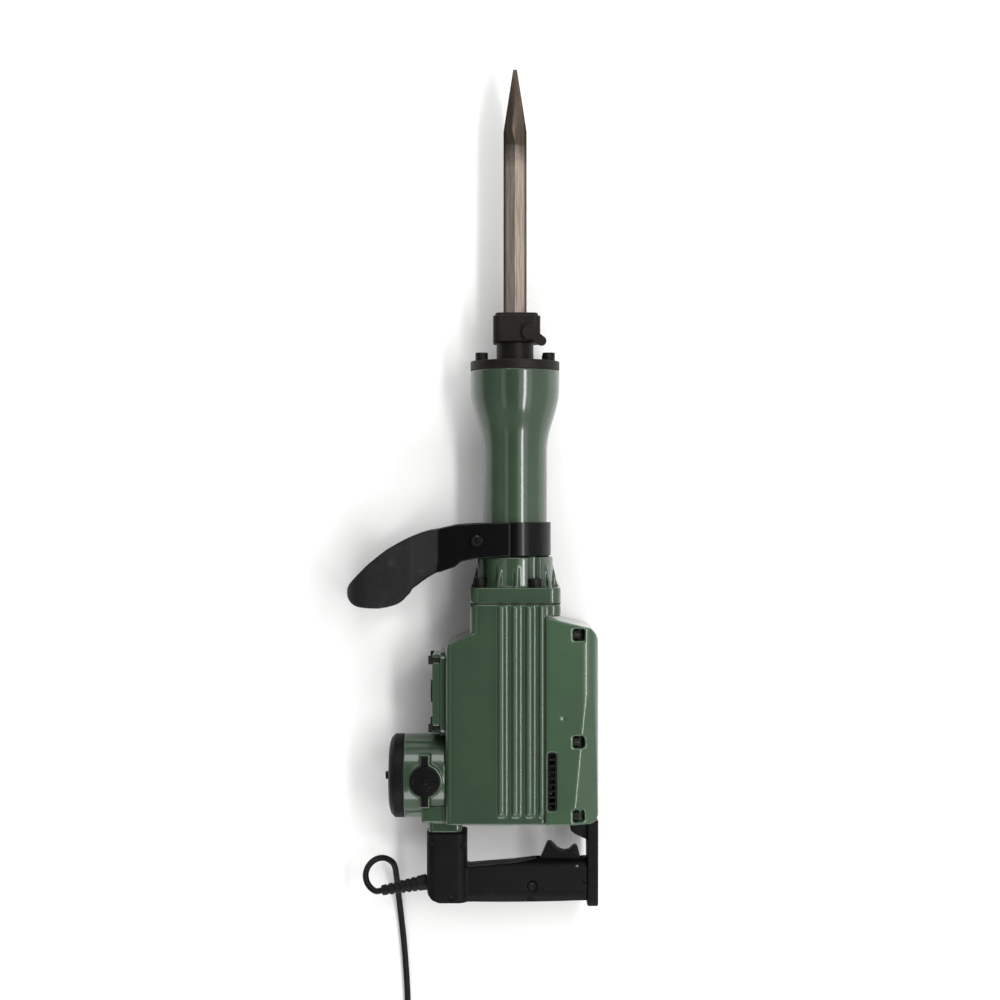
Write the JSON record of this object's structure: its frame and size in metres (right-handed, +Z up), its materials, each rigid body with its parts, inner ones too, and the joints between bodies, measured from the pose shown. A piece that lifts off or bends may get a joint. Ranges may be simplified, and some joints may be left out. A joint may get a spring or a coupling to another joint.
{
  "type": "electric demolition hammer",
  "caption": "Electric demolition hammer with a hexagon bull-point chisel, a side stirrup handle, a rear trigger handle, crank and gear castings and a mains cord.",
  "frame": {"origin": "on the flat face that the hammer lies on, under the tool axis and beside the middle of the crank case", "axes": "+Y along the tool axis towards the chisel's point, +Z up from the floor, +X towards the gear cover"},
  "size_m": [0.3223, 1.3705, 0.13],
  "materials": {
    "green_enamel": "gloss",
    "blackened_steel": "satin",
    "chisel_steel": "satin",
    "machined_steel": "satin",
    "black_lacquer": "gloss",
    "black_plastic": "satin",
    "side_grip_plastic": "matte",
    "trigger_plastic": "satin",
    "black_rubber": "matte",
    "brass": "satin",
    "copper_winding": "satin",
    "carbon": "matte",
    "sight_glass": "polished",
    "gasket_paper": "matte"
  },
  "bodies": {
    "casing": {"front_cover": "blackened_steel", "front_cover_bolts": "blackened_steel", "cylinder_case": "green_enamel", "cylinder_case_bolts": "blackened_steel", "cylinder_gasket": "gasket_paper", "crank_case": "green_enamel", "gear_cover": "green_enamel", "gear_cover_gasket": "gasket_paper", "gear_cover_screws": "blackened_steel", "crank_cover": "green_enamel", "crank_cover_bolts": "blackened_steel", "sight_glass_bezel": "blackened_steel", "oil_sight_glass": "sight_glass", "motor_housing": "green_enamel", "tail_cover": "black_plastic", "tail_cover_screw": "blackened_steel", "brush_caps": "black_plastic", "brush_cap_bars": "black_plastic", "brush_holders": "brass", "carbon_brushes": "carbon", "stator_core": "machined_steel", "field_coils": "copper_winding", "armature_bearings": "machined_steel", "gear_bearings": "machined_steel", "cylinder_liner": "machined_steel", "impact_sleeve": "machined_steel", "damper_ring": "black_rubber", "vent_grilles": "black_plastic", "handle_shell_near": "black_plastic", "handle_shell_far": "black_plastic", "handle_end_bar": "black_plastic", "handle_screws": "blackened_steel", "trigger_pin": "machined_steel", "switch_body": "black_plastic", "cord_guard": "black_rubber", "cord": "black_rubber", "cord_coil": "black_rubber", "mains_plug": "black_rubber", "plug_pins": "brass"},
    "chisel": {"chisel": "chisel_steel"},
    "retainer": {"retainer_lever": "blackened_steel"},
    "side_handle": {"side_handle_loop": "side_grip_plastic", "side_handle_strap": "black_lacquer", "side_handle_bolt": "blackened_steel"},
    "trigger": {"trigger": "trigger_plastic"},
    "lock_button": {"lock_button": "trigger_plastic"},
    "armature": {"armature_shaft": "machined_steel", "armature_core": "copper_winding", "commutator": "copper_winding", "cooling_fan": "black_plastic"},
    "idler": {"idler_shaft": "machined_steel", "idler_gear": "machined_steel"},
    "crank": {"crankshaft": "machined_steel", "crank_gear": "machined_steel"},
    "piston": {"piston": "machined_steel", "piston_pin": "machined_steel", "piston_ring": "black_rubber"},
    "connecting_rod": {"connecting_rod": "machined_steel"},
    "striker": {"striker": "machined_steel"},
    "impact_bolt": {"impact_bolt": "machined_steel"}
  },
  "joints": [
    {"name": "chisel_slide", "type": "slide", "parent": "casing", "child": "chisel", "axis": [0, 1, 0], "range_m": [0, 0.02]},
    {"name": "retainer_turn", "type": "hinge", "parent": "casing", "child": "retainer", "pos_m": [0.019, 0.482, 0.065], "axis": [0, 0, 1], "range_deg": [0, 180]},
    {"name": "side_handle_swivel", "type": "hinge", "parent": "casing", "child": "side_handle", "pos_m": [0, 0.216, 0.065], "axis": [0, 1, 0], "continuous": true},
    {"name": "trigger_pull", "type": "hinge", "parent": "casing", "child": "trigger", "pos_m": [0.08, -0.206, 0.065], "axis": [0, 0, 1], "range_deg": [0, 7], "stiffness_Nm_per_rad": 4},
    {"name": "lock_press", "type": "slide", "parent": "casing", "child": "lock_button", "axis": [0, 0, -1], "range_m": [0, 0.003], "stiffness_N_per_m": 800},
    {"name": "armature_spin", "type": "hinge", "parent": "casing", "child": "armature", "pos_m": [-0.05, -0.091, 0.065], "axis": [1, 0, 0], "continuous": true},
    {"name": "idler_spin", "type": "hinge", "parent": "casing", "child": "idler", "pos_m": [0.06, -0.049, 0.065], "axis": [1, 0, 0], "continuous": true},
    {"name": "crank_spin", "type": "hinge", "parent": "casing", "child": "crank", "pos_m": [0.06, 0.0185, 0.065], "axis": [1, 0, 0], "continuous": true},
    {"name": "piston_stroke", "type": "slide", "parent": "casing", "child": "piston", "axis": [0, 1, 0], "range_m": [-0.028, 0]},
    {"name": "rod_swing", "type": "hinge", "parent": "piston", "child": "connecting_rod", "pos_m": [0, 0.1325, 0.065], "axis": [1, 0, 0], "range_deg": [-8, 8]},
    {"name": "striker_stroke", "type": "slide", "parent": "casing", "child": "striker", "axis": [0, 1, 0], "range_m": [-0.03, 0]},
    {"name": "impact_bolt_stroke", "type": "slide", "parent": "casing", "child": "impact_bolt", "axis": [0, 1, 0], "range_m": [-0.01, 0]}
  ],
  "couplings": [
    {"joint": "idler_spin", "follows": "armature_spin", "ratio": -0.23077},
    {"joint": "crank_spin", "follows": "armature_spin", "ratio": 0.080769}
  ]
}
